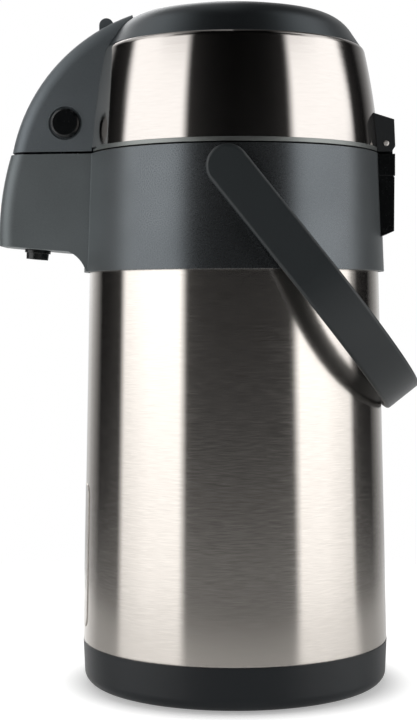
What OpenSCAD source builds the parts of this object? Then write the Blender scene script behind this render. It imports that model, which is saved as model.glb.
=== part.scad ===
// Pump pot: free-standing vacuum jug with a hinged pump lid, a beak spout and a swing handle.
// Millimetres, +Z up, resting face on z = 0, vessel axis on Z, spout towards -X, hinge towards +X.

/* [Vessel] */
// Radius of the steel body just above the base ring
body_r = 83.6; // [82:0.2:86]
// How much smaller that radius is under the collar
body_taper = 4.4; // [3.6:0.1:5.2]
// Height of the base ring
base_h = 24; // [21:1:28]
// Visible height of the steel body
body_h = 201; // [185:1:215]
// Thickness of the steel sheet
steel_t = 0.8; // [0.6:0.1:1]
// Vacuum gap between shell and liner
vacuum_gap = 6; // [5:0.5:8]
// Inside radius of the mouth
mouth_r = 38.5; // [36:0.5:40]

/* [Collar and beak] */
// Height of the collar
collar_h = 63.2; // [61:0.2:66]
// How far the collar's lower edge stands out from the steel
collar_step = 3.05; // [2.6:0.05:3.4]
// How much the collar narrows towards its top
collar_draft = 2.45; // [1.5:0.05:3]
// Wall thickness of the plastic mouldings
wall = 2.2; // [1.8:0.1:2.6]
// Radius of the beak's upper outline, seen from the side
beak_r = 98.7; // [97:0.1:101]
// Half width of the beak at its outline, before the edges are rounded
beak_w = 20.3; // [19.5:0.1:22]
// Rounding of the beak's long edges
beak_edge = 9; // [6:0.5:10]
// Slope of the beak's underside, in degrees
beak_tilt = 5.1; // [4:0.1:7]
// Outside radius of the nozzle tube
nozzle_r = 6.4; // [5.4:0.1:6.6]

/* [Lid] */
// Height of the steel band up to its shoulder
band_h = 52.2; // [50:0.2:55]
// Height of the cap above the band
cap_h = 17.6; // [16:0.2:18.4]
// Gap of the seam between the lid and the collar
seam_gap = 0.8; // [0.6:0.1:1]
// Radius of the well in which the push plate runs
well_r = 47.6; // [45:0.2:49]
// Travel of the push plate
stroke = 24; // [18:1:26]
// Radius of the release buttons
button_r = 7.65; // [7:0.05:8]
// Travel of the release buttons
button_stroke = 3; // [2:0.25:3.5]
// Radius of the hinge pin
pin_r = 1.45; // [1.2:0.05:1.8]

/* [Handle] */
// Gap between the resting grip and the body
handle_gap = 0.5; // [0.4:0.1:3]
// Width of the strap
strap_w = 22; // [20:0.2:23]
// Thickness of the strap
strap_t = 4.4; // [4:0.2:6]
// Slope of the handle at rest, in degrees under the horizontal
handle_rest = 51.5; // [48:0.1:53]
// Radius of the handle's trunnions
trunnion_r = 4.5; // [4:0.1:5]

/* [Fits] */
// Radial clearance of a running fit
run_fit = 0.05; // [0.03:0.01:0.08]
// Clearance of a seated piece
seat_fit = 0.05; // [0.03:0.01:0.08]
// Clearance between pieces that move past each other
pass_gap = 0.4; // [0.35:0.05:0.6]

/* [Hidden] */
$fn = 96;

foot_lift = 0.8;
foot_inset = 14.6;
foot_in = body_r - foot_inset;
foot_out = foot_in + 5;
foot_h = 2.5;
base_in = foot_in - 3;
dish_r = body_r - 23.6;
ledge_z = 9;
base_r = body_r + 0.15;
base_draft = 0.7;
base_edge = 6.5;
lip_r = body_r - 2.4;
collar_z = base_h + body_h;
part_z = collar_z + collar_h;
shoulder_z = collar_z + 5;
ring_top = part_z - 7.2;
deck_z = ring_top - 2;
neck_z = ring_top - 19;
neck_out = mouth_r + 3;
ring_out = neck_out + 4;
skirt_h = 10;
collar_rb = body_r - body_taper + collar_step;
collar_rt = collar_rb - collar_draft;
prop_r = body_r - 19.6;
cone_r = prop_r - 4;
far_x = 2.15 * body_r;
far_y = 2 * beak_w;

// Beak: the upper and the lower outline are arcs about two axes parallel to Y.
beak_k = 0.1;
up_x = 56.8 - collar_rt;
up_z = part_z + 80.7 - beak_r;
tip_x = up_x - sqrt(beak_r * beak_r - (part_z - up_z) * (part_z - up_z));
low_r = beak_r + 55.3;
low_z = part_z - 44.8;
low_x = tip_x - 0.695 + sqrt(low_r * low_r - (part_z - low_z) * (part_z - low_z));
cove_r = 17.2;
cove_cx = collar_rb + 13.59;
cove_cz = collar_z - 4.82;
cove_x = collar_rb + 6.45;
under_z = cove_cz + sqrt(cove_r * cove_r - (cove_cx - cove_x) * (cove_cx - cove_x));
nozzle_x = tip_x + 12.045;
nozzle_z = under_z + (-nozzle_x - cove_x) * tan(beak_tilt);
nozzle_drop = 5.3;
pipe_low = 5;
head_socket = 9;
liner_edge = 8;
screw_inset = 5.5;
well_skirt = 12;
arm_h = 21.5;
arm_back = 17.9;
arm_bevel = 11.8;
pipe_r = 5;
pipe_z = ring_top - 10;
pipe_x = nozzle_x + (pipe_z - nozzle_z) * tan(beak_tilt);
head_x = -(mouth_r - 7.5);
head_r = 6.4;
tube_in = 3.4;
tube_out = 4.6;
tube_low = 14;
tube_seat = 7;

// Lid
rim_z = part_z + seam_gap;
band_z = part_z + 3;
band_r = collar_rt - 0.4;
rim_r = band_r + 0.2;
rim_gap = 2.4;
band_curve = 350;
band_cz = band_z - 24.5;
band_cx = band_r - sqrt(band_curve * band_curve - 24.5 * 24.5);
edge_r = 4;
edge_a = asin((band_h + 24.5) / band_curve);
edge_x = band_cx + (band_curve - edge_r) * cos(edge_a);
edge_z = band_cz + (band_curve - edge_r) * sin(edge_a);
cap_z = edge_z + edge_r * sin(60) + 0.1;
cap_top = cap_z + cap_h;
cap_r = edge_x + edge_r * cos(60);
cap_slope = 33.9;
cap_curve = 22.6;
cap_side = (cap_h - cap_curve * (sin(78) - sin(cap_slope))) / cos(cap_slope);
cap_cx = cap_r - cap_side * sin(cap_slope) - cap_curve * cos(cap_slope);
cap_cz = cap_z + cap_side * cos(cap_slope) - cap_curve * sin(cap_slope);
tube_r = cap_r - 2.35;
tube_top = cap_z - 1.5;
post_h = 16;
post_r = 4.2;
screw_r = 1.5;
screw_h = 12;
plate_r = well_r - pass_gap;
plate_z = cap_top;
plate_t = 3.2;
bellows_top = plate_z - plate_t;
bellows_r = well_r - 5.2;
boss_r = button_r + 2.35;
spring_r = 15;

pin_x = collar_rt + 2.2;
pin_z = part_z + 5.1;
knuckle_r = 4.5;
hinge_w = 20;
hinge_mid = 9.5;
hinge_in = collar_rt - 9.8;
hinge_x = pin_x + 4.8;
block_z = part_z - 12.2;

button_x = tip_x + 29.8;
button_z = part_z + 16.4;
button_in = beak_w + 0.7;
button_out = button_in + 4.2;
hook_y = beak_w - 9.5;
boss_in = hook_y + 3.2;
hook_t = 2.5;

lock_x = 0.85 - cap_r;
lock_r = 3.9;
lock_z = up_z + sqrt(beak_r * beak_r - (lock_x - up_x) * (lock_x - up_x)) + 1.575;
lock_len = 8;

pivot_x = -2.9;
pivot_z = part_z - 12.4;
arm_y = collar_rt + 7.2;
bend_r = arm_y - 7;
bush_r = trunnion_r + 2;
trunnion_in = collar_rt - 6.8;
strap_e = 1.8;
strap_h = strap_w / 2 - strap_e;
body_slope = body_taper / body_h;
grip_in = (body_r - body_slope * (pivot_z - strap_h * cos(handle_rest) - base_h) + handle_gap - pivot_x
    + strap_h * sin(handle_rest) + strap_e) / (cos(handle_rest) - body_slope * sin(handle_rest));
handle_reach = grip_in + strap_t - strap_e;

// Radius of the steel body at a height
function body_at(z) = body_r - body_taper * (z - base_h) / body_h;
// Outside radius of the collar at a height
function collar_at(z) = collar_rb - collar_draft * (z - collar_z) / collar_h;
// Height of the collar's sloping deck at a radius
function deck_at(r) = deck_z + (r - ring_out - 6.5) * (part_z - 2.2 - deck_z) / (collar_rt - ring_out - 11.8);
// Outside radius of the liner at a height
function liner_at(z) = body_at(z) - steel_t - vacuum_gap;

// Half section of a wheel whose rim edges are rounded by e, with sides that spread by beak_k towards the hub.
// The rounding stands 0.01 mm proud, so that it crosses the flat sides and doesn't just touch them.
module wheel_half(r, w, e) {
    s = sqrt(1 + beak_k * beak_k);
    yc = w + beak_k * e - e * s;
    tx = r - e + e * beak_k / s;
    ty = yc + e / s;
    hub = w + beak_k * r;
    polygon([[0, -hub], [tx, -ty], [r, -yc], [r, yc], [tx, ty], [0, hub]]);
    translate([r - e, yc]) circle(r = e + 0.01);
    translate([r - e, -yc]) circle(r = e + 0.01);
}

// Wheel about an axis parallel to Y
module wheel(x, z, r, w, e) {
    translate([x, 0, z])
        rotate([90, 0, 0])
            rotate_extrude()
                wheel_half(r, w, e);
}

// Box from its limits
module span(x0, x1, y0, y1, z0, z1) {
    translate([x0, y0, z0]) cube([x1 - x0, y1 - y0, z1 - z0]);
}

// Cylinder along Y between two faces
module rod_y(x, z, r, y0, y1) {
    translate([x, y0, z])
        rotate([-90, 0, 0])
            cylinder(h = y1 - y0, r = r);
}

// Cylinder along X between two faces
module rod_x(y, z, r, x0, x1) {
    translate([x0, y, z])
        rotate([0, 90, 0])
            cylinder(h = x1 - x0, r = r);
}

// Ring between two radii
module ring(r0, r1, z0, z1) {
    translate([0, 0, z0])
        rotate_extrude()
            translate([r0, 0]) square([r1 - r0, z1 - z0]);
}

// Points on the middle of a coil's wire, eight to a turn
function coil_line(r, wire, z0, z1, turns) = [for (i = [0 : turns * 8])
    [r * cos(45 * i), r * sin(45 * i), z0 + wire + (z1 - z0 - 2 * wire) * i / (turns * 8)]];
// Least gap between one turn and the next, measured on those points
function coil_gap(line, wire) = min([for (i = [0 : len(line) - 7])
    for (j = [i + 6 : min(i + 10, len(line) - 1)]) norm(line[i] - line[j])]) - 2 * wire;

// Wire coil along Z as one unbroken tube, which prints its least gap to itself
module coil(r, wire, z0, z1, turns) {
    sides = 6;
    n = turns * 8;
    rise = (z1 - z0 - 2 * wire) / n;
    echo(coil_gap = coil_gap(coil_line(r, wire, z0, z1, turns), wire));
    pts = [for (i = [0 : n]) for (j = [0 : sides - 1])
        let (a = 45 * i, b = 60 * j, q = r + wire * cos(b))
        [q * cos(a), q * sin(a), z0 + wire + rise * i + wire * sin(b)]];
    skin = [for (i = [0 : n - 1]) for (j = [0 : sides - 1]) for (t = [0, 1])
        let (k = (j + 1) % sides, p = i * sides, q = p + sides)
        t == 0 ? [p + j, p + k, q + k] : [p + j, q + k, q + j]];
    start = [for (j = [0 : sides - 1]) sides - 1 - j];
    end = [for (j = [0 : sides - 1]) n * sides + j];
    polyhedron(points = pts, faces = concat([start], skin, [end]));
}

// Space under the beak, lifted by a wall when the inside is cut
module under_beak(lift) {
    translate([0, far_y, 0])
        rotate([90, 0, 0])
            linear_extrude(height = 2 * far_y) {
                translate([0, lift])
                    polygon([[-cove_x, under_z], [-far_x, under_z + (far_x - cove_x) * tan(beak_tilt)],
                        [-far_x, collar_z - collar_h], [-cove_x, collar_z - collar_h]]);
                intersection() {
                    translate([-cove_cx, cove_cz]) circle(r = cove_r + lift);
                    translate([-cove_x - 0.01, collar_z - collar_h]) square([2 * cove_r, 2 * collar_h]);
                }
            }
}

// Solid inside the collar's outer cone, larger by a clearance
module collar_cone(extra) {
    translate([0, 0, collar_z])
        cylinder(h = collar_h + extra, r1 = collar_rb + extra, r2 = collar_rt + extra);
}

// Outline of the band from its foot to the end of its rounded shoulder, moved in by a depth
function band_line(d) = concat(
    [for (i = [0 : 12]) let (a = asin(24.5 / band_curve) * (1 - i / 12) + edge_a * i / 12)
        [band_cx + (band_curve - d) * cos(a), max(band_z, band_cz + (band_curve - d) * sin(a))]],
    [for (a = [20 : 10 : 60]) [edge_x + (edge_r - d) * cos(a), edge_z + (edge_r - d) * sin(a)]]);

// Half section inside the outline of the lid's band
module band_section(d) {
    line = band_line(d);
    polygon(concat([[0, line[0][1]]], line, [[0, line[17][1]]]));
}

// Half section inside the outline of the cap, moved in by a depth: a sloping side that turns over in an arc.
// The arc stands 0.01 mm proud, so that it crosses the side and doesn't just touch it.
module cap_section(d, low) {
    r = cap_curve - d;
    tx = cap_cx + r * cos(cap_slope);
    tz = cap_cz + r * sin(cap_slope);
    intersection() {
        union() {
            translate([cap_cx, cap_cz]) circle(r = r + 0.01);
            polygon([[0, cap_z - low], [tx + (tz - cap_z + low) * tan(cap_slope), cap_z - low], [tx, tz],
                [cap_cx, tz], [cap_cx, cap_top], [0, cap_top]]);
        }
        translate([0, cap_z - low]) square([cap_r + 9, cap_h + low]);
    }
}

// Rest pose of the handle: local X runs along the arm, local Z across the strap
module at_handle() {
    translate([pivot_x, 0, pivot_z])
        rotate([0, handle_rest, 0])
            children();
}

// Rounded section of the strap: X across its thickness, Y across its width
module strap_section() {
    e = strap_e;
    translate([-strap_t / 2, -strap_w / 2 + e]) square([strap_t, strap_w - 2 * e]);
    translate([-strap_t / 2 + e, -strap_w / 2]) square([strap_t - 2 * e, strap_w]);
    for (x = [-1, 1])
        for (y = [-1, 1])
            translate([x * (strap_t / 2 - e), y * (strap_w / 2 - e)]) circle(r = e);
}

module foot_ring() {
    color("#2b2b2c") ring(foot_in, foot_out, 0, foot_h);
}

module base_ring() {
    rc = base_r - base_draft - base_edge;
    zc = foot_lift + base_edge;
    color("#38393b")
        difference() {
            rotate_extrude() {
                polygon([[base_in, foot_lift], [rc, foot_lift], [rc + base_edge, zc], [base_r, base_h],
                    [lip_r + seat_fit, base_h], [lip_r + seat_fit, ledge_z], [base_in, ledge_z]]);
                intersection() {
                    translate([rc, zc]) circle(r = base_edge);
                    translate([rc, 0]) square([base_edge + 1, zc]);
                }
            }
            ring(foot_in - seat_fit, foot_out + seat_fit, -1, foot_h);
        }
}

module shell_bottom() {
    r = lip_r - steel_t - seat_fit;
    color("#b9bab8")
        rotate_extrude()
            polygon([[0, ledge_z + 4], [dish_r - 4, ledge_z + 4], [dish_r, ledge_z], [r, ledge_z],
                [r, ledge_z + steel_t], [dish_r + steel_t / 2, ledge_z + steel_t],
                [dish_r - 4 + steel_t / 2, ledge_z + 4 + steel_t], [0, ledge_z + 4 + steel_t]]);
}

module outer_shell() {
    t = steel_t;
    top_r = body_at(shoulder_z);
    color("#c9cac8")
        rotate_extrude()
            polygon([[lip_r, ledge_z], [lip_r, base_h], [body_r, base_h], [top_r, shoulder_z],
                [cone_r, shoulder_z], [neck_out, neck_z - 12], [neck_out, neck_z - t],
                [neck_out - t, neck_z - t], [neck_out - t, neck_z - 12 - t / 2],
                [cone_r - t / 2, shoulder_z - t], [top_r - t, shoulder_z - t], [body_r - t, base_h + t],
                [lip_r - t, base_h + t], [lip_r - t, ledge_z]]);
}

module inner_liner() {
    t = steel_t;
    z1 = base_h + 6;
    z2 = shoulder_z - 18;
    r1 = liner_at(z1);
    r2 = liner_at(z2);
    n = neck_z - 22;
    color("#c4c5c3")
        rotate_extrude()
            polygon([[0, z1 - liner_edge], [r1 - liner_edge, z1 - liner_edge], [r1, z1], [r2, z2],
                [mouth_r + t, n], [mouth_r + t, neck_z - t], [neck_out, neck_z - t],
                [neck_out, neck_z], [mouth_r, neck_z],
                [mouth_r, n - t / 2], [r2 - t, z2 - t / 2], [r1 - t, z1 + t / 2],
                [r1 - liner_edge - t / 2, z1 - liner_edge + t], [0, z1 - liner_edge + t]]);
}

module neck_seal() {
    color("#d9d8d2") ring(mouth_r, neck_out - 0.2, neck_z, neck_z + 2);
}

module neck_ring() {
    s = neck_out + seat_fit;
    color("#3b3e40")
        difference() {
            rotate_extrude()
                polygon([[mouth_r, neck_z + 2], [mouth_r, ring_top], [ring_out + 4.5, ring_top],
                    [ring_out + 4.5, deck_z], [ring_out, deck_z], [ring_out, neck_z - skirt_h],
                    [s, neck_z - skirt_h], [s, neck_z + 2]]);
            rod_x(0, pipe_z, pipe_r + seat_fit, -ring_out - 5, -mouth_r + 8);
        }
}

module collar_ring() {
    r = ring_out + seat_fit;
    low = part_z - 2.2;
    rotate_extrude()
        polygon([[collar_rb, collar_z], [collar_rt, part_z], [collar_rt - 3.3, part_z],
            [collar_rt - 5.3, low], [ring_out + 6.5, deck_z], [r, deck_z], [r, deck_z - wall],
            [ring_out + 7, deck_z - wall], [collar_rt - 6.5, low - wall],
            [collar_at(low - wall - 1) - wall, low - wall - 1], [collar_rb - wall, collar_z]]);
    ring(prop_r, prop_r + 2.5, shoulder_z, deck_at(prop_r) - 0.5);
}

module beak_low() {
    difference() {
        intersection() {
            wheel(low_x, low_z, low_r, beak_w, beak_edge);
            span(-far_x, -ring_out, -far_y, far_y, collar_z, part_z);
        }
        under_beak(0);
        translate([0, 0, collar_z - 1])
            cylinder(h = collar_h + 2, r1 = collar_rb - wall / 2, r2 = collar_rt - wall / 2);
    }
}

module beak_low_inside() {
    difference() {
        intersection() {
            wheel(low_x, low_z, low_r - wall, beak_w - wall, beak_edge - wall);
            union() {
                span(-far_x, -collar_rt + wall / 2, -far_y, far_y, collar_z, part_z - wall);
                span(-collar_rb - cove_r, -prop_r - 2.6, -far_y, far_y, collar_z, deck_z - 1.2);
            }
        }
        under_beak(wall);
    }
}

module collar() {
    color("#474b4e")
        difference() {
            union() {
                collar_ring();
                beak_low();
            }
            beak_low_inside();
            nozzle_place() translate([0, 0, -2]) cylinder(h = 20, r = nozzle_r + seat_fit);
            rod_x(0, pipe_z, pipe_r + pass_gap, -prop_r - 6, -ring_out - 2);
            for (s = [-1, 1]) {
                span(button_x - 4.6, button_x + 4.6, s * 11 - 5, s * 11 + 5, part_z - wall - 1, part_z + 1);
                rod_y(pivot_x, pivot_z, bush_r + seat_fit, s * collar_rt - 6, s * collar_rt + 6);
            }
        }
}

// Frame of the nozzle: its Z runs up along the outlet
module nozzle_place() {
    translate([nozzle_x, 0, nozzle_z])
        rotate([0, beak_tilt, 0])
            children();
}

module dip_tube() {
    color("#dfe0dd")
        translate([head_x, 0, 0])
            ring(tube_in, tube_out, base_h + tube_low, pipe_z - tube_seat);
}

module tube_head() {
    color("#e4e3de")
        difference() {
            translate([head_x, 0, 0]) ring(0, head_r, pipe_z - 13, pipe_z + head_r);
            translate([head_x, 0, pipe_z - 2 * tube_seat]) cylinder(h = tube_seat, r = tube_out + seat_fit);
            translate([head_x, 0, pipe_z - tube_seat - 1]) cylinder(h = tube_seat + 1, r = tube_in);
            rod_x(0, pipe_z, pipe_r + seat_fit, head_x - head_socket, head_x - 2);
            rod_x(0, pipe_z, tube_in, head_x - 3, head_x);
        }
}

module outlet_pipe() {
    rise = (pipe_z - nozzle_z) / cos(beak_tilt);
    color("#e2e1dc")
        difference() {
            union() {
                rod_x(0, pipe_z, pipe_r, pipe_x, head_x - 2);
                nozzle_place() {
                    translate([0, 0, pipe_low]) cylinder(h = rise - pipe_low - 3, r = pipe_r);
                    translate([0, 0, rise - 7]) cylinder(h = 13.5, r = pipe_r + 1.4);
                }
            }
            rod_x(0, pipe_z, 3.2, pipe_x, head_x);
            nozzle_place() translate([0, 0, 3]) cylinder(h = rise, r = 3.6);
        }
}

module spout_nozzle() {
    color("#1d1d1e")
        nozzle_place()
            difference() {
                union() {
                    translate([0, 0, -nozzle_drop])
                        cylinder(h = nozzle_drop + 0.8, r1 = nozzle_r - 0.4, r2 = nozzle_r);
                    translate([0, 0, -1.8]) cylinder(h = 1.8, r = nozzle_r + 0.7);
                    cylinder(h = 14, r = nozzle_r);
                }
                translate([0, 0, -nozzle_drop - 1]) cylinder(h = nozzle_drop + 7, r = 4);
                translate([0, 0, pipe_low]) cylinder(h = 10, r = pipe_r + seat_fit);
            }
}

module hinge_bracket() {
    color("#1b1b1c")
        difference() {
            union() {
                span(hinge_in, hinge_x - 0.1, -hinge_w, hinge_w, block_z, part_z - 0.5);
                span(hinge_in, hinge_x - 0.4, -hinge_mid, hinge_mid, part_z - 1, pin_z);
                rod_y(pin_x, pin_z, knuckle_r, -hinge_mid, hinge_mid);
            }
            collar_cone(seat_fit);
            span(hinge_in - 1, pin_x - knuckle_r + 0.3, -hinge_w, hinge_w, part_z, pin_z + 2 * knuckle_r);
            rod_y(pin_x, pin_z, pin_r + run_fit, -hinge_w, hinge_w);
        }
}

module hinge_cover() {
    color("#1b1b1c")
        difference() {
            translate([0, hinge_w, 0])
                rotate([90, 0, 0])
                    linear_extrude(height = 2 * hinge_w)
                        polygon([[hinge_in, block_z - seat_fit], [hinge_x - 1.2, block_z - seat_fit],
                            [hinge_x - 0.4, block_z - 0.9], [hinge_x - 0.6, block_z - 29.7],
                            [hinge_x - 8.6, block_z - 33], [hinge_in, block_z - 36.5]]);
            collar_cone(seat_fit);
        }
}

module bush(s) {
    y0 = collar_rt - 7;
    y1 = arm_y - strap_t / 2 - 0.6;
    color("#2a2b2c")
        difference() {
            rod_y(pivot_x, pivot_z, bush_r, s > 0 ? y0 : -y1, s > 0 ? y1 : -y0);
            rod_y(pivot_x, pivot_z, trunnion_r + run_fit, s > 0 ? y0 - 1 : -y1 - 1, s > 0 ? y1 + 1 : -y0 + 1);
        }
}

module bush_near() {
    bush(-1);
}

module bush_far() {
    bush(1);
}

// Places of the lid screws around the lid base
module at_screws() {
    for (a = [45 : 90 : 315])
        rotate([0, 0, a])
            translate([tube_r - screw_inset, 0, 0])
                children();
}

module lid_base() {
    color("#4c4f51")
        difference() {
            union() {
                ring(0, rim_r, rim_z, band_z);
                ring(bellows_r + 0.3, bellows_r + 2.3, rim_z + 1, band_z + 4);
                ring(mouth_r - 0.5, mouth_r + 1, ring_top + 3, rim_z + 1);
                ring(ring_out + 1, ring_out + 2.5, ring_top + 3, rim_z + 1);
            }
            translate([0, 0, rim_z - 1]) cylinder(h = 8, r = 2.5 + seat_fit);
            for (a = [0 : 60 : 300])
                rotate([0, 0, a])
                    translate([7, 0, rim_z - 1]) cylinder(h = 8, r = 1.5);
            at_screws() {
                translate([0, 0, rim_z - 1]) cylinder(h = 8, r = screw_r + seat_fit);
                translate([0, 0, rim_z - 1]) cylinder(h = 2.2, r = 2 * screw_r);
            }
            span(pin_x - 5.4, hinge_x + 10, -hinge_mid - 0.8, hinge_mid + 0.8, rim_z - 2, band_z + 2);
            intersection() {
                wheel(up_x, up_z, beak_r + 1, beak_w + rim_gap, beak_edge);
                span(-far_x, -tube_r - 3, -far_y, far_y, rim_z - 1, band_z + 1);
            }
            intersection() {
                wheel(up_x, up_z, beak_r + 1, beak_w + 3 * rim_gap, beak_edge);
                span(-far_x, -tube_r - 3, -far_y, far_y, band_z - 1, band_z + 1);
            }
        }
}

module lid_gasket() {
    color("#e3e2dc") ring(mouth_r + 1, ring_out + 1, ring_top + pass_gap, rim_z);
}

module air_valve() {
    color("#d8d7d1")
        rotate_extrude()
            polygon([[0, rim_z - 2.2], [10, rim_z - 1], [10, rim_z], [2.5, rim_z], [2.5, band_z],
                [4, band_z], [3, band_z + 3], [0, band_z + 3]]);
}

module lid_screws() {
    color("#8f9091")
        at_screws() {
            translate([0, 0, rim_z - 0.6]) cylinder(h = 1.8, r = 2 * screw_r - 0.2);
            translate([0, 0, rim_z]) cylinder(h = screw_h, r = screw_r);
        }
}

module beak_up() {
    difference() {
        intersection() {
            wheel(up_x, up_z, beak_r, beak_w, beak_edge);
            span(-far_x, -tube_r + 13, -far_y, far_y, part_z + 1.2, cap_top + cap_h);
        }
        difference() {
            intersection() {
                wheel(up_x, up_z, beak_r - wall, beak_w - wall, beak_edge - wall);
                span(-far_x, -tube_r + 7.5, -far_y, far_y, part_z, tube_top - 2);
            }
            translate([0, 0, part_z - 1]) cylinder(h = cap_top - part_z, r = tube_r);
        }
        translate([0, 0, part_z]) cylinder(h = tube_top - part_z + 0.5, r = tube_r - 1);
    }
}

module lid_shell() {
    color("#474b4e")
        difference() {
            union() {
                ring(tube_r - 2.5, tube_r, band_z, tube_top);
                beak_up();
                at_screws() translate([0, 0, band_z]) cylinder(h = post_h, r = post_r);
                intersection() {
                    wheel(up_x, up_z, beak_r - 0.5, beak_w, beak_edge);
                    span(button_x - 4, button_x + 7, -1.5, 1.5, button_z - 8, cap_top);
                }
                for (s = [-1, 1])
                    intersection() {
                        wheel(up_x, up_z, beak_r - 0.5, beak_w - 0.5, beak_edge);
                        rod_y(button_x, button_z, boss_r, s > 0 ? boss_in : -far_y, s > 0 ? far_y : -boss_in);
                    }
            }
            translate([0, 0, part_z - 2]) cylinder(h = band_z - part_z + 2, r = rim_r + seat_fit);
            at_screws() translate([0, 0, band_z - 1]) cylinder(h = post_h - 2, r = screw_r + seat_fit);
            rotate_extrude()
                union() {
                    cap_section(-seat_fit, 0);
                    translate([0, tube_top]) square([cap_r - 1, cap_z - tube_top + 0.1]);
                }
            for (s = [-1, 1]) {
                rod_y(button_x, button_z, button_r + run_fit, s > 0 ? boss_in - 4 : -far_y,
                    s > 0 ? far_y : 4 - boss_in);
                rod_y(button_x, button_z, button_r + 1.25, s > 0 ? button_in : -far_y,
                    s > 0 ? far_y : -button_in);
            }
            span(lock_x - lock_r - pass_gap, lock_x + lock_r + pass_gap, -lock_len - 0.5, lock_len + 0.5,
                lock_z - 5.6, cap_top + cap_h);
        }
}

module lid_band() {
    outside = band_line(0);
    inside = band_line(steel_t);
    color("#c9cac8")
        difference() {
            rotate_extrude()
                polygon(concat(outside, [for (i = [0 : 17]) inside[17 - i]]));
            intersection() {
                wheel(up_x, up_z, beak_r + seat_fit, beak_w + seat_fit, beak_edge);
                span(-far_x, -well_r, -far_y, far_y, part_z, cap_top + cap_h);
            }
            span(pin_x - 5.4, hinge_x + 10, -hinge_mid - 0.8, hinge_mid + 0.8, band_z - 2, pin_z + 5.4);
        }
}

module lid_cap() {
    color("#3f4346")
        rotate_extrude() {
            difference() {
                intersection() {
                    cap_section(0, 0);
                    translate([well_r, cap_z]) square([cap_r, cap_h]);
                }
                intersection() {
                    cap_section(3.6, 1);
                    translate([well_r + wall, cap_z - 1]) square([cap_r, cap_h - 1.6]);
                }
            }
            translate([well_r, cap_z - well_skirt]) square([wall, well_skirt + 2]);
            translate([tube_r - 1.5, tube_top]) square([3, cap_z - tube_top + 1]);
        }
}

module lid_hinge_arm() {
    color("#1b1b1c")
        difference() {
            translate([0, hinge_w, 0])
                rotate([90, 0, 0])
                    linear_extrude(height = 2 * hinge_w)
                        polygon([[hinge_in, rim_z], [pin_x + 3, rim_z], [hinge_x, pin_z - 1.6],
                            [hinge_x - 0.6, part_z + arm_back], [hinge_x - arm_bevel, part_z + arm_h],
                            [hinge_in, part_z + arm_h]]);
            rotate_extrude() {
                band_section(-seat_fit);
                translate([0, part_z - 2]) square([rim_r + seat_fit, band_z - part_z + 2 + seat_fit]);
            }
            rod_y(pin_x, pin_z, knuckle_r + 0.9, -hinge_mid - 0.5, hinge_mid + 0.5);
            span(hinge_in - 1, pin_x, -hinge_mid - 0.5, hinge_mid + 0.5, part_z - 5, pin_z);
            span(pin_x, hinge_x + 1, -hinge_mid - 0.5, hinge_mid + 0.5, part_z - 5, pin_z + knuckle_r + 0.9);
            rod_y(pin_x, pin_z, pin_r + seat_fit, -hinge_w - 1, hinge_w + 1);
        }
}

module hinge_pin() {
    color("#b5b6b5") rod_y(pin_x, pin_z, pin_r, -hinge_w - 0.3, hinge_w + 0.3);
}

module bellows() {
    bends = 14;
    rise = (bellows_top - band_z) / bends;
    outline = [for (i = [0 : bends]) [i % 2 == 0 ? bellows_r : bellows_r - 6.5, band_z + rise * i]];
    inside = [for (i = [0 : bends]) outline[bends - i] - [1.4, 0]];
    color("#cfcec8")
        rotate_extrude()
            polygon(concat(outline, inside));
}

module return_spring() {
    color("#a9aaa9") coil(spring_r, 1, band_z, bellows_top, 7);
}

module push_plate() {
    z = plate_z - plate_t;
    color("#34373a")
        rotate_extrude()
            polygon([[0, z], [spring_r - 5, z], [spring_r - 5, z - 10], [spring_r - 2.6, z - 10],
                [spring_r - 2.6, z], [plate_r - 2.4, z], [plate_r - 2.4, z - 12], [plate_r, z - 12],
                [plate_r, plate_z], [0, plate_z]]);
}

module push_disc() {
    color("#b3aca4")
        rotate_extrude()
            polygon([[0, plate_z], [plate_r - 0.6, plate_z], [plate_r - 0.6, plate_z + 0.4],
                [plate_r - 1.1, plate_z + 0.9], [0, plate_z + 0.9]]);
}

module lock_slider() {
    y0 = -lock_len;
    color("#26282a") {
        span(lock_x - lock_r, lock_x + lock_r, y0, 0, lock_z - 5.5, lock_z);
        rod_y(lock_x, lock_z, lock_r, y0, 0);
    }
}

module button(s) {
    low = part_z - 5;
    color("#161617")
        mirror([0, s > 0 ? 0 : 1, 0]) {
            rod_y(button_x, button_z, button_r, hook_y + hook_t - 0.1, button_out - 1);
            translate([button_x, button_out - 1, button_z])
                rotate([-90, 0, 0])
                    cylinder(h = 1, r1 = button_r, r2 = button_r - 1);
            span(button_x - 3, button_x + 3, hook_y, hook_y + hook_t, low, button_z + 4);
            span(button_x - 3, button_x + 3, hook_y, hook_y + hook_t + 1.2, low, low + 2);
        }
}

module button_near() {
    button(-1);
}

module button_far() {
    button(1);
}

module button_spring(s) {
    color("#a9aaa9")
        translate([button_x, 0, button_z])
            rotate([s > 0 ? -90 : 90, 0, 0])
                coil(2.6, 0.4, 1.5, hook_y, 5);
}

module spring_near() {
    button_spring(-1);
}

module spring_far() {
    button_spring(1);
}

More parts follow.
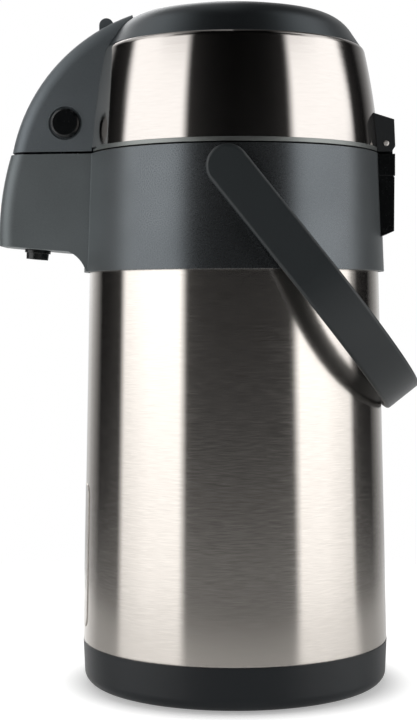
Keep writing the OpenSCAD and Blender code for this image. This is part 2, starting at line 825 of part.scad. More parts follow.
module handle() {
    bar_x = handle_reach - strap_t / 2;
    color("#3a3c3e")
        at_handle() {
            for (s = [-1, 1]) {
                translate([0, s * arm_y, 0])
                    rotate([0, 90, 0])
                        rotate([0, 0, 90])
                            linear_extrude(height = bar_x - bend_r)
                                strap_section();
                translate([0, s * arm_y, 0])
                    rotate([90, 0, 0])
                        rotate_extrude()
                            intersection() {
                                rotate([0, 0, 90]) strap_section();
                                translate([0, -strap_t]) square([strap_w, 2 * strap_t]);
                            }
                translate([bar_x - bend_r, s * (arm_y - bend_r), 0])
                    rotate([0, 0, s > 0 ? 0 : -90])
                        rotate_extrude(angle = 90)
                            translate([bend_r, 0]) strap_section();
                rod_y(0, 0, trunnion_r, s > 0 ? trunnion_in : -arm_y, s > 0 ? arm_y : -trunnion_in);
            }
            translate([bar_x, arm_y - bend_r, 0])
                rotate([90, 0, 0])
                    linear_extrude(height = 2 * (arm_y - bend_r))
                        strap_section();
        }
}

foot_ring();
base_ring();
shell_bottom();
outer_shell();
inner_liner();
neck_seal();
neck_ring();
collar();
dip_tube();
tube_head();
outlet_pipe();
spout_nozzle();
hinge_bracket();
hinge_cover();
bush_near();
bush_far();
lid_base();
lid_gasket();
air_valve();
lid_shell();
lid_screws();
lid_band();
lid_cap();
lid_hinge_arm();
hinge_pin();
bellows();
return_spring();
push_plate();
push_disc();
lock_slider();
button_near();
button_far();
spring_near();
spring_far();
handle();
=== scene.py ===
import math
import bmesh
import bpy
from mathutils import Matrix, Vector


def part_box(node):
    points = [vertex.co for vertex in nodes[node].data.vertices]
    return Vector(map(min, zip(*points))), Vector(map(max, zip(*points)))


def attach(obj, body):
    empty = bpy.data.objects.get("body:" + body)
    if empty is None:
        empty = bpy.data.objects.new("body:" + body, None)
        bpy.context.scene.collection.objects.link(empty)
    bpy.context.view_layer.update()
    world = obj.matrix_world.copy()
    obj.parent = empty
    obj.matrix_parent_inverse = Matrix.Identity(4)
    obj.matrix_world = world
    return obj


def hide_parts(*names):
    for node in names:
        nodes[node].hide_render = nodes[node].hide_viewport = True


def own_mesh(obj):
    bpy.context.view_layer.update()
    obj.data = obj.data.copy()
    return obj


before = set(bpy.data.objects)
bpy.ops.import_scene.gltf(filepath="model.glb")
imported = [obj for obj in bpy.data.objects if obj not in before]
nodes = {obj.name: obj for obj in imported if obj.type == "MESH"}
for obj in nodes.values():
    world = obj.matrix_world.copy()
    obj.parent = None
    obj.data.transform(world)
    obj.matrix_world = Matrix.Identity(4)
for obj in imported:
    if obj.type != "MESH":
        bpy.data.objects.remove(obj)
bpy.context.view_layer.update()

print("frame loaded:", len(nodes), "nodes")

noiseLow, noiseHigh = 0.3, 0.7  # nearly all values of a noise texture lie between these
edgeSamples = 6  # rays for a softened edge


def linear(code):
    # sRGB hex to the linear colour that shaders use
    parts = [int(code[i:i + 2], 16) / 255 for i in (1, 3, 5)]
    return tuple(c / 12.92 if c <= 0.04045 else ((c + 0.055) / 1.055) ** 2.4 for c in parts) + (1.0,)


def addNode(tree, kind, sockets=None, **settings):
    # sockets go by name or number; on a colour mix 0 is the share, 6 and 7 are the colours
    node = tree.nodes.new(kind)
    for name, value in settings.items():
        setattr(node, name, value)
    for name, value in (sockets or {}).items():
        if isinstance(value, bpy.types.NodeSocket):
            tree.links.new(value, node.inputs[name])
        else:
            node.inputs[name].default_value = value
    return node


def startMaterial(name, sockets):
    material = bpy.data.materials.new(name)
    material.use_nodes = True
    tree = material.node_tree
    tree.nodes.clear()
    shader = addNode(tree, "ShaderNodeBsdfPrincipled", sockets)
    addNode(tree, "ShaderNodeOutputMaterial", {"Surface": shader.outputs[0]})
    return material, tree, shader


def perMetre(mm):
    # texture scale for a pattern of this size in millimetres
    return 1000.0 / mm


# Cold-rolled 18/8 steel, brushed round the body on a lathe: lines run around it, so reflections stay
# narrow sideways and smear upwards. The lines are really about 0.1 mm apart and are drawn at 0.3 mm to show.
brushedSteelSet = {
    "dark": "#bfb8b1", "light": "#dad5cf", "roughness": (0.11, 0.155), "anisotropy": 1.0, "brushTurn": 0.25,
    "lineMm": 0.3, "runMm": 8.0, "relief": 0.08, "depthMm": 0.003, "edgeMm": 1.4}


def brushedSteel(name, look):
    material, tree, shader = startMaterial(name, {
        "Metallic": 1.0, "Anisotropic": look["anisotropy"], "Anisotropic Rotation": look["brushTurn"]})
    place = addNode(tree, "ShaderNodeTexCoord").outputs["Object"]
    run = perMetre(look["runMm"])
    stretched = addNode(tree, "ShaderNodeMapping", {
        "Vector": place, "Scale": (run, run, perMetre(look["lineMm"]))})
    lines = addNode(tree, "ShaderNodeTexNoise", {
        "Vector": stretched.outputs[0], "Scale": 1.0, "Detail": 3.0, "Roughness": 0.65})
    tone = addNode(tree, "ShaderNodeMix", {
        0: lines.outputs[0], 6: linear(look["dark"]), 7: linear(look["light"])}, data_type="RGBA")
    low, high = look["roughness"]
    spread = addNode(tree, "ShaderNodeMapRange", {
        "Value": lines.outputs[0], "From Min": noiseLow, "From Max": noiseHigh,
        "To Min": low, "To Max": high})
    edge = addNode(tree, "ShaderNodeBevel", {"Radius": look["edgeMm"] / 1000}, samples=edgeSamples)
    relief = addNode(tree, "ShaderNodeBump", {
        "Height": lines.outputs[0], "Strength": look["relief"], "Distance": look["depthMm"] / 1000,
        "Normal": edge.outputs[0]})
    around = addNode(tree, "ShaderNodeTangent", direction_type="RADIAL", axis="Z")
    tree.links.new(tone.outputs[2], shader.inputs["Base Color"])
    tree.links.new(spread.outputs[0], shader.inputs["Roughness"])
    tree.links.new(relief.outputs[0], shader.inputs["Normal"])
    tree.links.new(around.outputs[0], shader.inputs["Tangent"])
    return material


# Moulded plastic: a grain from the tool's spark-eroded face breaks the gloss up, and the colour drifts a
# little. The grain is really about 0.1 mm and is drawn at 0.5 mm or more to show. Where a coat or metallic is
# given, the moulding is lacquered.
mouldedSet = {
    "metallic": 0.0, "specular": 0.5, "coat": 0.0, "coatRoughness": 0.1, "driftMm": 45.0, "edgeMm": 0.4}


def mouldedPlastic(name, finish):
    look = dict(mouldedSet, **finish)
    material, tree, shader = startMaterial(name, {
        "Metallic": look["metallic"], "Specular IOR Level": look["specular"],
        "Coat Weight": look["coat"], "Coat Roughness": look["coatRoughness"]})
    place = addNode(tree, "ShaderNodeTexCoord").outputs["Object"]
    grain = addNode(tree, "ShaderNodeTexNoise", {
        "Vector": place, "Scale": perMetre(look["grainMm"]), "Detail": 2.0, "Roughness": 0.6})
    drift = addNode(tree, "ShaderNodeTexNoise", {
        "Vector": place, "Scale": perMetre(look["driftMm"]), "Detail": 2.0, "Roughness": 0.5})
    mixed = addNode(tree, "ShaderNodeMath", {0: grain.outputs[0], 1: drift.outputs[0]}, operation="ADD")
    tone = addNode(tree, "ShaderNodeMapRange", {
        "Value": mixed.outputs[0], "From Min": 2 * noiseLow, "From Max": 2 * noiseHigh,
        "To Min": 0.0, "To Max": 1.0})
    colour = addNode(tree, "ShaderNodeMix", {
        0: tone.outputs[0], 6: linear(look["dark"]), 7: linear(look["light"])}, data_type="RGBA")
    low, high = look["roughness"]
    spread = addNode(tree, "ShaderNodeMapRange", {
        "Value": grain.outputs[0], "From Min": noiseLow, "From Max": noiseHigh,
        "To Min": low, "To Max": high})
    if "etchAndPaintedLightSpanMm" in look:
        # the tool was etched more coarsely towards the beak and the hinge: a flatter sheen there,
        # and a paler colour there that is painted light, for the sides that catch the soft boxes
        across = addNode(tree, "ShaderNodeSeparateXYZ", {0: place})
        shifted = addNode(tree, "ShaderNodeMath", {
            0: across.outputs[0], 1: look["etchAndPaintedLightFromMm"] / 1000}, operation="SUBTRACT")
        off = addNode(tree, "ShaderNodeMath", {0: shifted.outputs[0]}, operation="ABSOLUTE")
        inner, outer = look["etchAndPaintedLightSpanMm"]
        etchAndPaintedLight = addNode(tree, "ShaderNodeMapRange", {
            "Value": off.outputs[0], "From Min": inner / 1000, "From Max": outer / 1000})
        for end, fine, atSides in zip(("To Min", "To Max"), look["roughness"], look["coarseRoughness"]):
            etched = addNode(tree, "ShaderNodeMapRange", {
                "Value": etchAndPaintedLight.outputs[0], "To Min": fine, "To Max": atSides})
            tree.links.new(etched.outputs[0], spread.inputs[end])
        # painted light: the colour turns paler towards the sides that catch the soft boxes
        for end, fine, atSides in ((6, "dark", "paintedLitDark"), (7, "light", "paintedLitLight")):
            paintedLit = addNode(tree, "ShaderNodeMix", {
                0: etchAndPaintedLight.outputs[0], 6: linear(look[fine]), 7: linear(look[atSides])}, data_type="RGBA")
            tree.links.new(paintedLit.outputs[2], colour.inputs[end])
    edge = addNode(tree, "ShaderNodeBevel", {"Radius": look["edgeMm"] / 1000}, samples=edgeSamples)
    relief = addNode(tree, "ShaderNodeBump", {
        "Height": grain.outputs[0], "Strength": look["relief"], "Distance": look["depthMm"] / 1000,
        "Normal": edge.outputs[0]})
    tree.links.new(colour.outputs[2], shader.inputs["Base Color"])
    tree.links.new(spread.outputs[0], shader.inputs["Roughness"])
    tree.links.new(relief.outputs[0], shader.inputs["Normal"])
    return material


# ABS under a grey lacquer with fine metal flake: dark seen square on, with broad soft lights to the sides,
# reflected and in part painted in as a paler colour towards the beak and the hinge.
flakeLacquerSet = {
    "dark": "#484c4f", "light": "#5b5f62", "metallic": 0.9, "roughness": (0.24, 0.30),
    "coat": 0.25, "coatRoughness": 0.55, "etchAndPaintedLightFromMm": 4.0, "etchAndPaintedLightSpanMm": (53.0, 85.0),
    # the paler colours here are painted light: the lacquer made paler where its sides face the soft boxes
    "paintedLitDark": "#636869", "paintedLitLight": "#757b7d", "coarseRoughness": (0.52, 0.58),
    "grainMm": 0.55, "relief": 0.15, "depthMm": 0.03}
# The beak's moulding, and the lock's slider, have the coarse etch all over: flat and even, with a colour
# painted paler than the collar's: painted light where the beak's sides catch the soft boxes.
beakPaintedLitLacquerSet = {
    "dark": "#5f6568", "light": "#70767a", "metallic": 0.9, "roughness": (0.52, 0.58),
    "coat": 0.25, "coatRoughness": 0.55, "grainMm": 0.55, "relief": 0.15, "depthMm": 0.03}
# ABS under the same lacquer with no clear coat: satin, with one long soft light over the dome.
satinCapSet = {
    "dark": "#42474a", "light": "#505558", "metallic": 0.9, "roughness": (0.30, 0.36),
    "grainMm": 0.55, "relief": 0.15, "depthMm": 0.03}
# ABS under a paler lacquer: a thin silvery strip below the lid's steel.
satinRimSet = {
    "dark": "#757876", "light": "#878a88", "metallic": 0.9, "roughness": (0.36, 0.42),
    "grainMm": 0.7, "relief": 0.08, "depthMm": 0.02}
# Polypropylene with a satin tool finish: an even dark grey with soft lit edges.
satinHandleSet = {
    "dark": "#1c2123", "light": "#24292b", "roughness": (0.40, 0.48),
    "grainMm": 0.6, "relief": 0.12, "depthMm": 0.02}
# The same, darker: near black, with a faint cool light along the curve.
satinBaseSet = {
    "dark": "#0c1116", "light": "#12191e", "specular": 0.42, "roughness": (0.34, 0.42),
    "grainMm": 0.6, "relief": 0.10, "depthMm": 0.02}
# Black ABS from a polished tool: near black with small sharp lights.
glossBlackSet = {
    "dark": "#0a0b0c", "light": "#101213", "roughness": (0.20, 0.28),
    "grainMm": 1.2, "relief": 0.04, "depthMm": 0.02}
# Black ABS from a lightly blasted tool: a soft grey bloom over the black.
satinBlackSet = {
    "dark": "#1c1e20", "light": "#25282a", "roughness": (0.42, 0.50),
    "grainMm": 0.8, "relief": 0.08, "depthMm": 0.02}
# Natural polypropylene: milky and slightly waxy.
palePlasticSet = {
    "dark": "#d6d4cc", "light": "#e4e2db", "specular": 0.4, "roughness": (0.38, 0.46),
    "grainMm": 1.0, "relief": 0.08, "depthMm": 0.02}
# Food-grade silicone: matt, pale, with no sharp light on it.
siliconeSet = {
    "dark": "#cfccc3", "light": "#dedbd3", "specular": 0.3, "roughness": (0.55, 0.65),
    "grainMm": 0.8, "relief": 0.1, "depthMm": 0.03}
# Black rubber from a plain tool: dull and slightly pebbled.
footRubberSet = {
    "dark": "#161617", "light": "#1f1f20", "specular": 0.3, "roughness": (0.6, 0.75),
    "grainMm": 0.8, "relief": 0.2, "depthMm": 0.05}

steel = brushedSteel("steelBrushedRound", brushedSteelSet)
# thinner sheet with a finer brush: darker and sharper in its reflections
lidSteel = brushedSteel("steelBrushedLid", dict(
    brushedSteelSet, dark="#aca7a3", light="#bdb8b4", roughness=(0.10, 0.14), edgeMm=0.1))
# deep drawn: a rounder, softer gloss
linerSteel = brushedSteel("steelDrawnLiner", dict(
    brushedSteelSet, dark="#b9b6b2", light="#c8c5c0", anisotropy=0.5))
# spun on a lathe: warm grey with a fan of light
discSteel = brushedSteel("steelSpunDisc", dict(
    brushedSteelSet, dark="#8f867e", light="#a39a92", anisotropy=0.4))
# drawn wire: bright, with a narrow light along it
brightSteel = brushedSteel("steelDrawnWire", dict(
    brushedSteelSet, roughness=(0.18, 0.25), anisotropy=0.2, edgeMm=0.05))
# hammered over at the end and dull; its pale colour is a painted highlight, the bright dot that a rounded end
# would catch
pinEndPaintedHighlightSteel = brushedSteel("steelPinEndPaintedHighlight", dict(
    brushedSteelSet, dark="#dedad6", light="#f0ece8", roughness=(0.55, 0.65), anisotropy=0.0))
flakeLacquer = mouldedPlastic("absFlakeLacquer", flakeLacquerSet)
# painted light: a paler copy of the collar's lacquer for the beak and the lock's slider
beakPaintedLitLacquer = mouldedPlastic("absFlakeLacquerBeakPaintedLit", beakPaintedLitLacquerSet)
satinHandle = mouldedPlastic("polypropyleneSatinHandle", satinHandleSet)
satinBase = mouldedPlastic("polypropyleneSatinBase", satinBaseSet)
satinCap = mouldedPlastic("absSatinCap", satinCapSet)
satinRim = mouldedPlastic("absSatinRim", satinRimSet)
glossBlack = mouldedPlastic("absGlossBlack", glossBlackSet)
satinBlack = mouldedPlastic("absSatinBlack", satinBlackSet)
palePlastic = mouldedPlastic("polypropyleneNatural", palePlasticSet)
silicone = mouldedPlastic("siliconeFoodGrade", siliconeSet)
footRubber = mouldedPlastic("rubberFoot", footRubberSet)

finishes = {
    "outer_shell": steel, "lid_band": lidSteel, "inner_liner": linerSteel, "shell_bottom": linerSteel,
    "push_disc": discSteel, "hinge_pin": pinEndPaintedHighlightSteel, "lid_screws": brightSteel, "return_spring": brightSteel,
    "spring_near": brightSteel, "spring_far": brightSteel, "collar": flakeLacquer, "lid_shell": beakPaintedLitLacquer,
    "lid_cap": satinCap, "push_plate": satinCap, "lock_slider": beakPaintedLitLacquer, "lid_base": satinRim,
    "neck_ring": satinBase, "base_ring": satinBase, "bush_near": satinBase, "bush_far": satinBase,
    "handle": satinHandle, "hinge_bracket": glossBlack, "hinge_cover": glossBlack,
    "lid_hinge_arm": satinBlack, "button_near": glossBlack, "button_far": glossBlack,
    "spout_nozzle": glossBlack, "dip_tube": palePlastic, "tube_head": palePlastic,
    "outlet_pipe": palePlastic, "neck_seal": silicone, "lid_gasket": silicone, "air_valve": silicone,
    "bellows": silicone, "foot_ring": footRubber}
for name, finish in finishes.items():
    for place in nodes[name].material_slots:
        place.material = finish
print("finishes set:", len(finishes))


def placePiece(name, verts, faces, finish, body, slotName):
    mesh = bpy.data.meshes.new(name)
    mesh.from_pydata(verts, [], faces)
    mesh.polygons.foreach_set("use_smooth", [True] * len(mesh.polygons))
    mesh.materials.append(finish)
    piece = bpy.data.objects.new(name, mesh)
    bpy.context.scene.collection.objects.link(piece)
    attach(piece, body)
    return piece


def wrapRings(rings, closed):
    # quads between rings of the same length; closed joins the last ring to the first
    count, around = len(rings), len(rings[0])
    verts = [point for ring in rings for point in ring]
    faces = []
    for i in range(count if closed else count - 1):
        low, high = i * around, (i + 1) % count * around
        for j in range(around):
            k = (j + 1) % around
            faces.append((low + j, low + k, high + k, high + j))
    if not closed:
        faces.append(tuple(range(around - 1, -1, -1)))
        faces.append(tuple(range((count - 1) * around, count * around)))
    return verts, faces


def squashToward(piece):
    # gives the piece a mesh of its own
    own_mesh(piece)


# Compression springs, with the end turns closed up as on a ground spring. along is the axis that they work
# on, and fixedEnd is the end that stays: 0 the lower, 1 the upper.
springSet = {
    "return_spring": {
        "along": 2, "turns": 7, "wireRadiusMm": 1.0,
        "body": "lid", "joint": "pump_slide", "fixedEnd": 0},
    "spring_near": {
        "along": 1, "turns": 5, "wireRadiusMm": 0.4,
        "body": "lid", "joint": "release_near_slide", "fixedEnd": 1},
    "spring_far": {
        "along": 1, "turns": 5, "wireRadiusMm": 0.4,
        "body": "lid", "joint": "release_far_slide", "fixedEnd": 0}}
springSteps, springSides = 32, 12
springEase = 0.55  # how much slower the wire climbs at both ends, so that the end turns lie nearly flat

for name, look in springSet.items():
    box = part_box(name)
    along, wire = look["along"], look["wireRadiusMm"] / 1000
    side, up = (along + 1) % 3, (along + 2) % 3
    middle = [(box[0][i] + box[1][i]) / 2 for i in range(3)]
    coilR = (box[1][side] - box[0][side]) / 2 - wire
    start, rise = box[0][along] + wire, box[1][along] - box[0][along] - 2 * wire
    rings = []
    for i in range(look["turns"] * springSteps + 1):
        part = i / (look["turns"] * springSteps)
        climb = part - springEase / math.tau * math.sin(math.tau * part)
        turn = math.tau * i / springSteps
        ring = []
        for j in range(springSides):
            bend = math.tau * j / springSides
            reach = coilR + wire * math.cos(bend)
            point = [0.0, 0.0, 0.0]
            point[side] = middle[side] + reach * math.cos(turn)
            point[up] = middle[up] + reach * math.sin(turn)
            point[along] = start + rise * climb + wire * math.sin(bend)
            ring.append(point)
        rings.append(ring)
    coil = placePiece(name + "_wire", *wrapRings(rings, False), brightSteel, look["body"], "bright_steel")
    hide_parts(name)
    squashToward(coil)

# Silicone bellows with rounded pleats and flat ends, which lie a hair clear of what holds them
bellowsSet = {
    "pleats": 7, "depthMm": 6.5, "wallMm": 1.4, "clearMm": 0.05, "sharpness": 0.93,
    "stepsPerPleat": 12, "segments": 72}
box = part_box("bellows")
bellowsR = (box[1][0] - box[0][0]) / 2
middle = [(box[0][i] + box[1][i]) / 2 for i in range(2)]
steps = bellowsSet["pleats"] * bellowsSet["stepsPerPleat"]
foot, head = box[0][2] + bellowsSet["clearMm"] / 1000, box[1][2] - bellowsSet["clearMm"] / 1000
outside = []
for i in range(steps + 1):
    wave = math.asin(bellowsSet["sharpness"] * math.cos(math.tau * bellowsSet["pleats"] * i / steps))
    tuck = 0.5 - 0.5 * wave / math.asin(bellowsSet["sharpness"])  # 0 at an outer fold, 1 at an inner one
    height = foot + (head - foot) * i / steps
    outside.append((bellowsR - bellowsSet["depthMm"] / 1000 * tuck, height))
inside = [(reach - bellowsSet["wallMm"] / 1000, height) for reach, height in reversed(outside)]
turns = [math.tau * j / bellowsSet["segments"] for j in range(bellowsSet["segments"])]
rings = []
for reach, height in outside + inside:
    rings.append([
        (middle[0] + reach * math.cos(turn), middle[1] + reach * math.sin(turn), height) for turn in turns])
pleated = placePiece("bellows_pleated", *wrapRings(rings, True), silicone, "lid", "silicone")
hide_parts("bellows")
squashToward(pleated)
print("springs and bellows wound")

# Bare foil plate on the body under the beak, with rounded corners, bent to the shell
plateSet = {
    "lowMm": 32.5, "highMm": 110.0, "halfMm": 25.5, "cornerMm": 7.0, "thickMm": 0.25, "bevelMm": 0.15,
    "liftMm": 0.005, "rows": 48, "columns": 24}
# the shell is straight from the base ring up to the collar, and its taper is read off its own mesh
shellLow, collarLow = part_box("base_ring")[1][2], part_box("collar")[0][2]
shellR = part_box("outer_shell")[1][0]
shellTop = max(math.hypot(v.co.x, v.co.y) for v in nodes["outer_shell"].data.vertices if v.co.z > collarLow)
shellTaper = shellR - shellTop


def shellAt(height):
    return shellR - shellTaper * (height - shellLow) / (collarLow - shellLow)


def plateLayer(inset, proud):
    low, high = plateSet["lowMm"] + inset, plateSet["highMm"] - inset
    half, corner = plateSet["halfMm"] - inset, plateSet["cornerMm"] - inset
    layer = []
    for i in range(plateSet["rows"] + 1):
        # rows lie closer together at both ends, where the corners turn
        height = low + (high - low) * (1 - math.cos(math.pi * i / plateSet["rows"])) / 2
        near = max(0.0, corner - min(height - low, high - height))
        width = half - corner + math.sqrt(max(0.0, corner * corner - near * near))
        reach = shellAt(height / 1000) + proud / 1000
        for j in range(plateSet["columns"] + 1):
            turn = width * (2 * j / plateSet["columns"] - 1) / 1000 / reach
            layer.append((-reach * math.cos(turn), reach * math.sin(turn), height / 1000))
    return layer


def plateBorder():
    # numbers of a layer's points along its edge, in order
    rows, columns = plateSet["rows"], plateSet["columns"] + 1
    border = list(range(columns))
    border += [i * columns + columns - 1 for i in range(1, rows + 1)]
    border += [rows * columns + j for j in range(columns - 2, -1, -1)]
    border += [i * columns for i in range(rows - 1, 0, -1)]
    return border


layers = [
    plateLayer(0.0, plateSet["liftMm"]), plateLayer(0.0, plateSet["thickMm"] - plateSet["bevelMm"]),
    plateLayer(plateSet["bevelMm"], plateSet["thickMm"])]
size = len(layers[0])
verts = [point for layer in layers for point in layer]
faces = []
columns = plateSet["columns"] + 1
for i in range(plateSet["rows"]):
    for j in range(plateSet["columns"]):
        a, b, c, d = i * columns + j, i * columns + j + 1, (i + 1) * columns + j + 1, (i + 1) * columns + j
        faces += [(a, b, c, d), (2 * size + d, 2 * size + c, 2 * size + b, 2 * size + a)]
border = plateBorder()
for lower in (0, size):
    for a, b in zip(border, border[1:] + border[:1]):
        faces.append((lower + b, lower + a, lower + size + a, lower + size + b))
placePiece("foil_plate", verts, faces, steel, "pot", "brushed_steel")
print("plate laid")

# Studio: a pale opal table, two tall soft boxes at the sides, a paler wall behind and a dark room in front,
# with white paper all round for what the lens sees past the table. The table's radius and fade are in metres.
tableSet = {
    "radius": 0.45, "fade": 0.3, "sides": 128, "tone": "#e6e6e5", "roughness": 0.3, "sheen": 0.5,
    "glow": 0.19, "lensGlow": (0.34, 0.78), "contactMm": 17.0, "contactDark": 0.45, "contactSamples": 16}
tableMesh = bpy.data.meshes.new("table")
shape = bmesh.new()
bmesh.ops.create_circle(shape, cap_ends=True, segments=tableSet["sides"], radius=tableSet["radius"])
shape.to_mesh(tableMesh)
shape.free()
table = bpy.data.objects.new("table", tableMesh)
bpy.context.scene.collection.objects.link(table)
# Opal acrylic sheet, cast: milky and lit from below, with a soft gloss that passes light on to the pot.
opalSheet, opalTree, opalShader = startMaterial("acrylicOpalSheet", {
    "Base Color": linear(tableSet["tone"]), "Roughness": tableSet["roughness"],
    "Emission Color": (1.0, 1.0, 1.0, 1.0)})
# the lens sees the sheet burnt out to white, like the paper behind it
lensOnly = addNode(opalTree, "ShaderNodeLightPath").outputs["Is Camera Ray"]
# and, close to the pot, ambient occlusion dims that glow: a painted contact shadow
nearPot = addNode(opalTree, "ShaderNodeAmbientOcclusion", {
    "Distance": tableSet["contactMm"] / 1000}, samples=tableSet["contactSamples"])
shade, glare = tableSet["lensGlow"]
paintedContactShadow = addNode(opalTree, "ShaderNodeMapRange", {
    "Value": nearPot.outputs["AO"], "From Min": tableSet["contactDark"], "From Max": 1.0,
    "To Min": shade, "To Max": glare})
burnt = addNode(opalTree, "ShaderNodeMapRange", {
    "Value": lensOnly, "To Min": tableSet["glow"], "To Max": paintedContactShadow.outputs[0]})
opalTree.links.new(burnt.outputs[0], opalShader.inputs["Emission Strength"])
sheen = addNode(opalTree, "ShaderNodeMapRange", {
    "Value": lensOnly, "To Min": tableSet["sheen"], "To Max": 0.0})
opalTree.links.new(sheen.outputs[0], opalShader.inputs["Specular IOR Level"])
# the sheet thins out towards its rim, so that it runs into the paper without an edge
spot = addNode(opalTree, "ShaderNodeTexCoord").outputs["Object"]
reach = addNode(opalTree, "ShaderNodeVectorMath", {0: spot}, operation="LENGTH")
fade = addNode(opalTree, "ShaderNodeMapRange", {
    "Value": reach.outputs["Value"], "From Min": tableSet["fade"], "From Max": tableSet["radius"],
    "To Min": 1.0, "To Max": 0.0}, interpolation_type="SMOOTHSTEP")
opalTree.links.new(fade.outputs[0], opalShader.inputs["Alpha"])
tableMesh.materials.append(opalSheet)

# Edges, ramps and tails are turns in degrees, 0 towards the camera and plus to its right. Leans, tops, feet
# and spans are heights, as the upward part of a direction from -1 to 1.
lightSet = {
    "boxes": 2.2, "room": 0.001, "paper": 1.0, "softEdge": 2.5, "outerShare": 0.78, "outerRise": 28.0,
    "tail": ((3.5, 0.03), (7.0, 0.015), (17.0, 0.006), (27.0, 0.0028)), "darkPast": 40.0,
    "lowEdges": ((-95.9, -40.1), (49.2, 101.6)),
    "highLean": (0.0, 0.25), "highEdges": ((-95.0, -39.0), (46.8, 108.6)),
    "topLean": (0.25, 0.45), "topEdges": ((-100.0, -40.3), (49.3, 106.0)),
    "crownLean": (0.47, 0.7), "crownEdges": ((-135.0, -72.0), (84.0, 128.0)), "crownShare": 0.55,
    "boxTop": (0.82, 0.96), "backdrop": (0.42, 0.36), "highBackdrop": (1.0, 0.22),
    "backRamp": 30.0, "backEdges": (-126.5, 129.0), "backTop": (0.5, 0.7), "ceiling": 0.15,
    "cardFoot": (-0.33, 0.08), "footShare": 0.25, "farFloor": 0.36, "farFloorSpan": (-0.21, -0.14)}
world = bpy.data.worlds.new("studio")
bpy.context.scene.world = world
world.use_nodes = True
sky = world.node_tree
sky.nodes.clear()
heading = addNode(sky, "ShaderNodeTexCoord").outputs["Generated"]
axes = addNode(sky, "ShaderNodeSeparateXYZ", {0: heading})
flipped = addNode(sky, "ShaderNodeMath", {0: axes.outputs[1], 1: -1.0}, operation="MULTIPLY")
turn = addNode(sky, "ShaderNodeMath", {0: axes.outputs[0], 1: flipped.outputs[0]}, operation="ARCTAN2")
share = addNode(sky, "ShaderNodeMapRange", {
    "Value": turn.outputs[0], "From Min": -math.pi, "From Max": math.pi, "To Min": 0.0, "To Max": 1.0})


def ringCard(stops):
    # brightness all round; each stop is a turn and its brightness
    ring = addNode(sky, "ShaderNodeValToRGB", {"Fac": share.outputs[0]})
    for angle, value in stops:
        ring.color_ramp.elements.new((angle + 180) / 360).color = (value, value, value, 1)
    for end in (0, -1):
        ring.color_ramp.elements[end].color = (stops[end][1], stops[end][1], stops[end][1], 1)
    return ring.outputs[0]


def boxStops(edges, full, outer):
    # each box is dimmer along its outer side, and light spills past its frame and dies away
    soft, tail, rise = lightSet["softEdge"], lightSet["tail"], lightSet["outerRise"]
    room, past = lightSet["room"], lightSet["darkPast"]
    stops = []
    for first, last in edges:
        stops += [(first - away, value) for away, value in reversed(tail)]
        if first < 0:
            stops += [(first + soft, outer), (first + rise, full), (last - soft, full)]
        else:
            stops += [(first + soft, full), (last - rise, full), (last - soft, outer)]
        stops += [(last + away, value) for away, value in tail]
    stops.insert(len(stops) // 2, (0.0, room))  # the dark gap where the camera stands
    return [(edges[0][0] - past, room)] + stops + [(edges[1][1] + past, room)]


def byHeight(span, start, end):
    # a share that changes from start to end between the two heights of span
    return addNode(sky, "ShaderNodeMapRange", {
        "Value": axes.outputs[2], "From Min": span[0], "From Max": span[1],
        "To Min": start, "To Max": end}).outputs[0]


# the boxes lean a little, so their edges lie elsewhere at the heights that the lid and the cap mirror
boxes = ringCard(boxStops(lightSet["lowEdges"], 1.0, lightSet["outerShare"]))
for level in ("high", "top", "crown"):
    full = lightSet["crownShare"] if level == "crown" else 1.0
    higher = ringCard(boxStops(lightSet[level + "Edges"], full, full))
    boxes = addNode(sky, "ShaderNodeMix", {
        0: byHeight(lightSet[level + "Lean"], 0.0, 1.0), 6: boxes, 7: higher}, data_type="RGBA").outputs[2]
boxLight = addNode(sky, "ShaderNodeMath", {
    0: boxes, 1: byHeight(lightSet["boxTop"], 1.0, 0.0)}, operation="MULTIPLY").outputs[0]

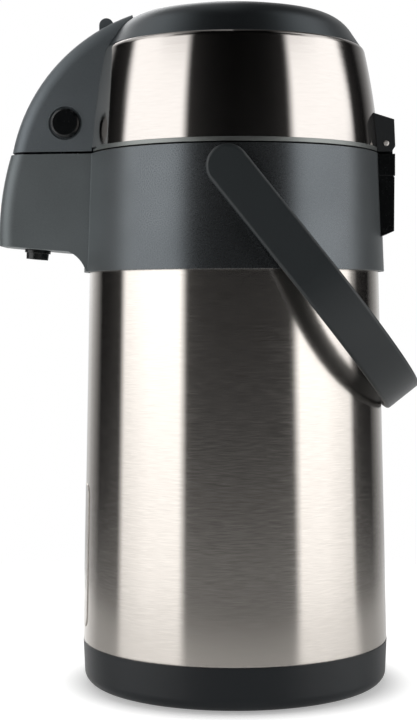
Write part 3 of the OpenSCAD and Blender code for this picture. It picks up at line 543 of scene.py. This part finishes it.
# the wall behind brightens slowly away from the boxes, and gives the steel its pale outlines
backLeft, backRight = lightSet["backEdges"]
backCards = []
for left, right in (lightSet["backdrop"], lightSet["highBackdrop"]):
    backCards.append(ringCard([
        (backLeft - lightSet["backRamp"], left), (backLeft, 0.0), (backRight, 0.0),
        (backRight + lightSet["backRamp"], right)]))
backCard = addNode(sky, "ShaderNodeMix", {
    0: byHeight(lightSet["highLean"], 0.0, 1.0), 6: backCards[0], 7: backCards[1]},
    data_type="RGBA").outputs[2]
backLight = addNode(sky, "ShaderNodeMath", {
    0: backCard, 1: byHeight(lightSet["backTop"], 1.0, lightSet["ceiling"])},
    operation="MULTIPLY").outputs[0]

# all of it dims towards the floor, and a far strip of floor shows pale below
cards = addNode(sky, "ShaderNodeMath", {0: boxLight, 1: backLight}, operation="ADD").outputs[0]
cardLight = addNode(sky, "ShaderNodeMath", {
    0: cards, 1: byHeight(lightSet["cardFoot"], lightSet["footShare"], 1.0)},
    operation="MULTIPLY").outputs[0]
walls = addNode(sky, "ShaderNodeMath", {
    0: cardLight, 1: byHeight(lightSet["farFloorSpan"], lightSet["farFloor"], 0.0)},
    operation="ADD").outputs[0]
glow = addNode(sky, "ShaderNodeBackground", {"Color": walls, "Strength": lightSet["boxes"]})
paper = addNode(sky, "ShaderNodeBackground", {"Color": (1.0, 1.0, 1.0, 1.0), "Strength": lightSet["paper"]})
seen = addNode(sky, "ShaderNodeMixShader", {
    0: addNode(sky, "ShaderNodeLightPath").outputs["Is Camera Ray"], 1: glow.outputs[0], 2: paper.outputs[0]})
addNode(sky, "ShaderNodeOutputWorld", {"Surface": seen.outputs[0]})
print("studio lit")

# Camera from the photograph's own ellipses: level with the middle of the body, a long lens
cameraSet = {
    "place": (0.0, -0.8868, 0.2053), "pitch": 88.145, "roll": 0.1865, "yaw": 0.9066,
    "lensMm": 80.36, "sensorMm": 36.0, "nearest": 0.01, "farthest": 50.0}
lens = bpy.data.cameras.new("photoCamera")
lens.sensor_fit = "AUTO"
lens.sensor_width = cameraSet["sensorMm"]
lens.lens = cameraSet["lensMm"]
lens.clip_start = cameraSet["nearest"]
lens.clip_end = cameraSet["farthest"]
camera = bpy.data.objects.new("photoCamera", lens)
camera.location = cameraSet["place"]
camera.rotation_euler = [math.radians(cameraSet[turned]) for turned in ("pitch", "roll", "yaw")]
bpy.context.scene.collection.objects.link(camera)
bpy.context.scene.camera = camera
bpy.context.scene.view_settings.view_transform = "Standard"
print("camera set")
